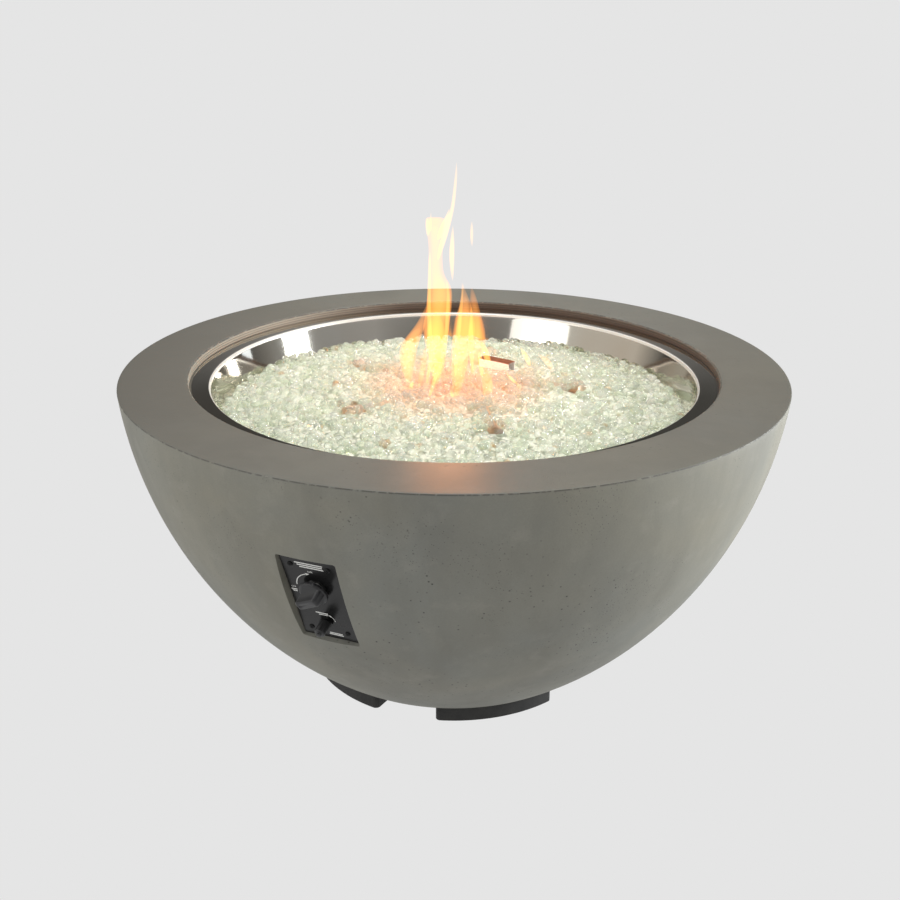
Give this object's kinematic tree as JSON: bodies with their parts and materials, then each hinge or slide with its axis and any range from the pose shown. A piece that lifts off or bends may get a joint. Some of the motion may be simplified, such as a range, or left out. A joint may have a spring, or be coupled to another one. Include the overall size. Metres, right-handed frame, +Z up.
{
  "type": "gas fire bowl",
  "caption": "Round free-standing gas fire bowl: cast bowl on a segmented foot ring, steel burner pan with a star burner under fire glass, and a recessed control panel with knob and igniter.",
  "frame": {"origin": "centre of the floor contact plane, on the bowl's axis", "axes": "+Z up along the bowl's axis, -Y towards the control panel, +X to the right of someone facing the panel"},
  "size_m": [1.0664, 1.0664, 0.517],
  "materials": {
    "concrete": "cast concrete, matt with a soft sheen and small pits",
    "foot_black": "moulded, dark and matt",
    "zinc_steel": "zinc-plated fasteners and bracket",
    "polished_steel": "mirror-polished stainless sheet",
    "burner_steel": "stainless steel, browned by heat",
    "hood_steel": "bright stainless strip, brown at its hot edges",
    "brass": "machined brass",
    "fire_glass": "clear tumbled glass with a faint green tint",
    "ceramic": "white glazed insulator",
    "copper_brown": "copper sheath of the thermocouple",
    "panel_black": "satin black powder coat",
    "black_screw": "black oxide",
    "knob_black": "moulded, fine satin texture",
    "igniter_black": "moulded, satin",
    "spring_steel": "drawn spring wire",
    "line_coat": "yellow coated flexible gas line",
    "lead_white": "white silicone sleeve",
    "battery_case": "plain foil sleeve",
    "anchor_grey": "moulded plug"
  },
  "bodies": {
    "root": {"concrete_bowl": "concrete", "base_bolts": "zinc_steel", "base_inserts": "zinc_steel", "burner_pan": "polished_steel", "burner_hub": "burner_steel", "burner_locknut": "zinc_steel", "air_mixer": "zinc_steel", "burner_elbow": "brass", "fire_glass": "fire_glass", "pilot_hood": "hood_steel", "electrode_ceramic": "ceramic", "electrode_rod": "burner_steel", "thermocouple": "copper_brown", "control_plate": "panel_black", "plate_screws": "black_screw", "plate_anchors": "anchor_grey", "valve_body": "brass", "valve_nut": "zinc_steel", "valve_elbows": "brass", "flare_nuts": "brass", "supply_line": "line_coat", "burner_line": "line_coat", "thermo_nut": "brass", "thermocouple_lead": "copper_brown", "igniter_lead": "lead_white", "igniter_body": "igniter_black", "igniter_battery": "battery_case", "igniter_nut": "igniter_black", "igniter_cap": "igniter_black", "igniter_spring": "spring_steel", "inlet_bracket": "zinc_steel", "bracket_screws": "zinc_steel", "gas_inlet_fitting": "brass", "inlet_locknut": "zinc_steel", "base_segment_1": "foot_black", "burner_arm_1": "burner_steel", "base_segment_2": "foot_black", "burner_arm_2": "burner_steel", "base_segment_3": "foot_black", "burner_arm_3": "burner_steel", "base_segment_4": "foot_black", "burner_arm_4": "burner_steel", "base_segment_5": "foot_black", "burner_arm_5": "burner_steel"},
    "rotor": {"valve_rotor": "brass", "valve_spring": "spring_steel"},
    "knob": {"control_knob": "knob_black", "valve_stem": "zinc_steel"},
    "igniter_button": {"igniter_button": "igniter_black"}
  },
  "joints": [
    {"name": "knob_turn", "type": "hinge", "parent": "root", "child": "rotor", "pos_m": [0, -0.48129, 0.34055], "axis": [0, -0.9209, -0.3897], "range_deg": [-117, 63]},
    {"name": "knob_push", "type": "slide", "parent": "rotor", "child": "knob", "axis": [0, 0.9209, 0.3897], "range_m": [0, 0.005], "stiffness_N_per_m": 900, "springref_m": -0.002, "deforming": ["valve_spring"]},
    {"name": "igniter_press", "type": "slide", "parent": "root", "child": "igniter_button", "axis": [0, 0.9209, 0.3897], "range_m": [0, 0.003], "stiffness_N_per_m": 900, "springref_m": -0.002, "deforming": ["igniter_spring"]}
  ]
}
